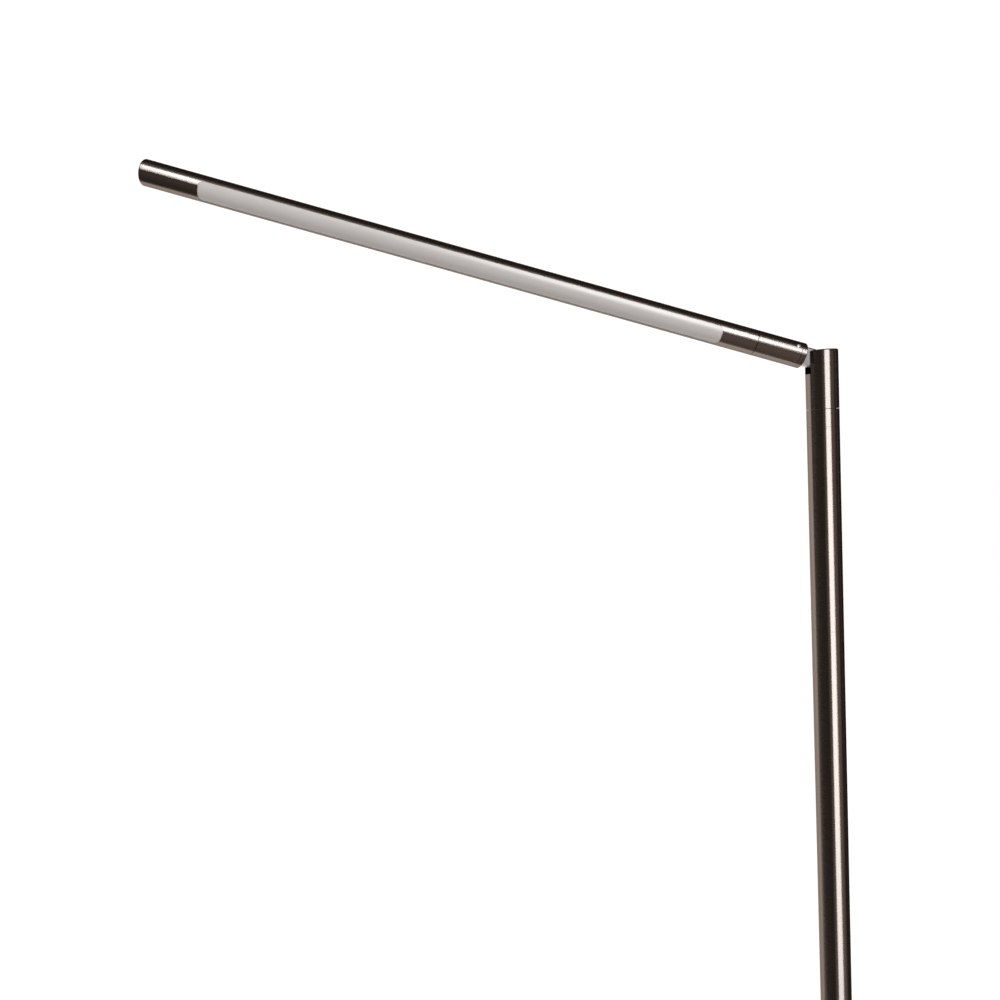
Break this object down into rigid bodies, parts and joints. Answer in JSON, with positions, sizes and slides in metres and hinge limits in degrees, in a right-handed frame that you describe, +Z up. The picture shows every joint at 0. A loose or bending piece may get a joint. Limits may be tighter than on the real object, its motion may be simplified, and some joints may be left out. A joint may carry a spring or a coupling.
{
  "type": "torchiere floor lamp",
  "caption": "Slim floor lamp: round weighted base, round pole, swivelling head, tilting arm and a rolling tubular light bar with an opal window.",
  "frame": {"origin": "centre of the floor pad's underside, on the floor under the pole axis", "axes": "+Z up along the pole axis; the arm points along -X at rest; -Y is the front that the window faces"},
  "size_m": [0.8234, 0.28, 1.6425],
  "materials": {
    "dark_nickel": "polished black nickel plate on steel tube",
    "dark_nickel_base": "polished black nickel plate on pressed steel",
    "bright_nickel": "satin machined steel",
    "steel_pin": "turned steel",
    "zinc_steel": "zinc plated",
    "cast_iron": "rough cast, black primer",
    "rubber_pad": "fine matte foam rubber",
    "black_nylon": "moulded, matte",
    "acetal": "black acetal, low friction",
    "lead_sheath": "black cable sheath",
    "opal_diffuser": "satin opal acrylic",
    "led_aluminium": "extruded, mill finish",
    "white_board": "white solder mask",
    "led_resin": "phosphor resin"
  },
  "bodies": {
    "stand": {"floor_pad": "rubber_pad", "base_weight": "cast_iron", "base_cover": "dark_nickel_base", "cord_inlet_bush": "black_nylon", "base_stud": "zinc_steel", "base_washer": "zinc_steel", "base_nut": "zinc_steel", "foot_plug": "zinc_steel", "pole_lower": "dark_nickel", "pole_middle": "dark_nickel", "pole_upper": "dark_nickel", "lower_coupler": "zinc_steel", "upper_coupler": "zinc_steel", "supply_lead": "lead_sheath", "swivel_post": "zinc_steel", "swivel_collar": "dark_nickel"},
    "head": {"swivel_bush": "acetal", "head_housing": "dark_nickel", "tilt_pin": "steel_pin", "friction_washers": "acetal", "head_guide_screw": "steel_pin", "head_lead": "lead_sheath"},
    "arm": {"hinge_tongue": "bright_nickel", "arm_end_cap": "dark_nickel", "arm_sleeve": "dark_nickel", "arm_grub_screw": "steel_pin", "roll_post": "zinc_steel", "arm_lead": "lead_sheath"},
    "light_bar": {"bar_tube": "dark_nickel", "diffuser": "opal_diffuser", "bar_hub": "acetal", "bar_guide_screw": "steel_pin", "tip_cap": "dark_nickel", "led_carrier": "led_aluminium", "led_board": "white_board", "led_chips": "led_resin", "bar_lead": "lead_sheath"}
  },
  "joints": [
    {"name": "head_swivel", "type": "hinge", "parent": "stand", "child": "head", "pos_m": [0, 0, 1.4], "axis": [0, 0, 1], "range_deg": [-155, 155]},
    {"name": "arm_tilt", "type": "hinge", "parent": "head", "child": "arm", "pos_m": [0, 0, 1.4], "axis": [0, 1, 0], "range_deg": [-18, 70]},
    {"name": "bar_roll", "type": "hinge", "parent": "arm", "child": "light_bar", "pos_m": [-0.06863, 0, 1.42336], "axis": [-0.9466, 0, 0.3223], "range_deg": [-150, 150]}
  ]
}
